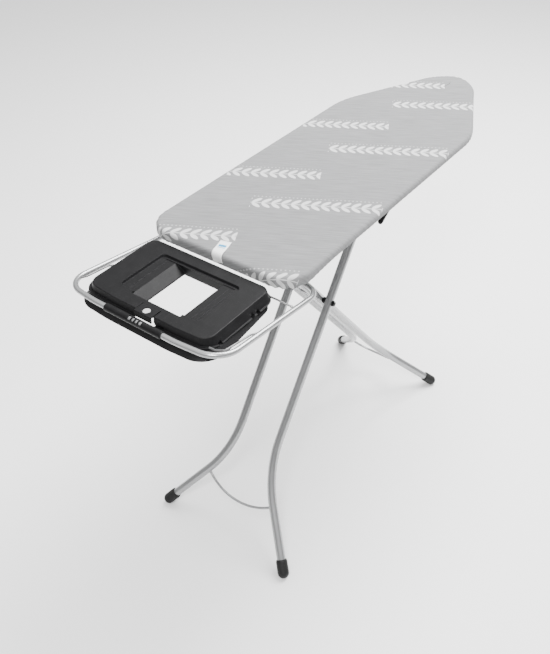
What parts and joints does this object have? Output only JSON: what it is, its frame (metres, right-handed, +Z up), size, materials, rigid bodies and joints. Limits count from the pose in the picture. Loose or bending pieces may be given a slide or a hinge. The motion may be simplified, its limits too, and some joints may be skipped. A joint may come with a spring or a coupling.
{
  "type": "ironing board",
  "caption": "Folding ironing board on crossed tube legs, with a padded cloth cover, a pointed nose and a black plastic rest on a bent tube loop at the blunt end.",
  "frame": {"origin": "on the floor under the middle of the bounding box", "axes": "+X from the blunt end to the nose, +Y to the left of someone facing the nose, +Z up"},
  "size_m": [1.499, 0.4768, 0.995],
  "materials": {
    "cover": "woven cotton",
    "pad": "felt over foam",
    "deck_steel": "powder coat",
    "bracket_steel": "powder coat",
    "silver_tube": "satin lacquer",
    "black_plastic": "fine grain",
    "grey_plastic": "satin",
    "pin_steel": "zinc plated",
    "rubber": "matt"
  },
  "bodies": {
    "deck": {"cover": "cover", "pad": "pad", "deck_mesh": "deck_steel", "deck_rim": "deck_steel", "cross_member_rear": "bracket_steel", "cross_member_lever": "bracket_steel", "cross_member_middle": "bracket_steel", "cross_member_front": "bracket_steel", "hinge_bracket_left": "bracket_steel", "hinge_bracket_right": "bracket_steel", "slide_rail_left": "bracket_steel", "slide_rail_right": "bracket_steel", "lever_bearing_inner": "bracket_steel", "lever_bearing_outer": "bracket_steel", "holder_clamp_left": "bracket_steel", "holder_clamp_right": "bracket_steel", "holder_loop": "silver_tube", "holder_wire_rear": "silver_tube", "holder_wire_left": "silver_tube", "holder_wire_right": "silver_tube", "holder_grip": "black_plastic", "tray": "black_plastic", "tray_latch": "black_plastic", "tray_base": "black_plastic", "latch_button": "grey_plastic", "hinge_pin": "pin_steel", "rivet_rear_left": "pin_steel", "rivet_rear_right": "pin_steel", "rivet_middle_left": "pin_steel", "rivet_middle_right": "pin_steel", "rivet_front_left": "pin_steel", "rivet_front_right": "pin_steel"},
    "far_frame": {"far_leg_left": "silver_tube", "far_leg_right": "silver_tube", "far_brace": "silver_tube", "far_foot_left": "rubber", "far_foot_right": "rubber", "far_plug_left": "black_plastic", "far_plug_right": "black_plastic"},
    "near_frame": {"near_leg_left": "silver_tube", "near_leg_right": "silver_tube", "near_brace": "silver_tube", "near_foot_left": "rubber", "near_foot_right": "rubber", "near_plug_left": "black_plastic", "near_plug_right": "black_plastic", "near_top_bar": "pin_steel", "near_glide_left": "black_plastic", "near_glide_right": "black_plastic", "cross_axle": "pin_steel", "cross_bush_left": "black_plastic", "cross_bush_right": "black_plastic", "cross_nut_left": "black_plastic", "cross_nut_right": "black_plastic"},
    "height_lever": {"lever_rod": "pin_steel", "lever_grip": "black_plastic", "lever_rack": "pin_steel", "lever_spring": "pin_steel"}
  },
  "joints": [
    {"name": "fold_hinge", "type": "hinge", "parent": "deck", "child": "far_frame", "pos_m": [-0.34442, 0, 0.945], "axis": [0, 1, 0], "range_deg": [-48, 0]},
    {"name": "cross_pivot", "type": "hinge", "parent": "far_frame", "child": "near_frame", "pos_m": [-0.10296, 0, 0.63593], "axis": [0, 1, 0], "range_deg": [0, 98]},
    {"name": "height_lever_hinge", "type": "hinge", "parent": "deck", "child": "height_lever", "pos_m": [0.001, 0, 0.949], "axis": [0, 1, 0], "range_deg": [-4.5, 0], "stiffness_Nm_per_rad": 3, "springref_deg": -4.5}
  ],
  "couplings": [
    {"joint": "cross_pivot", "follows": "fold_hinge", "ratio": -2.0394}
  ]
}
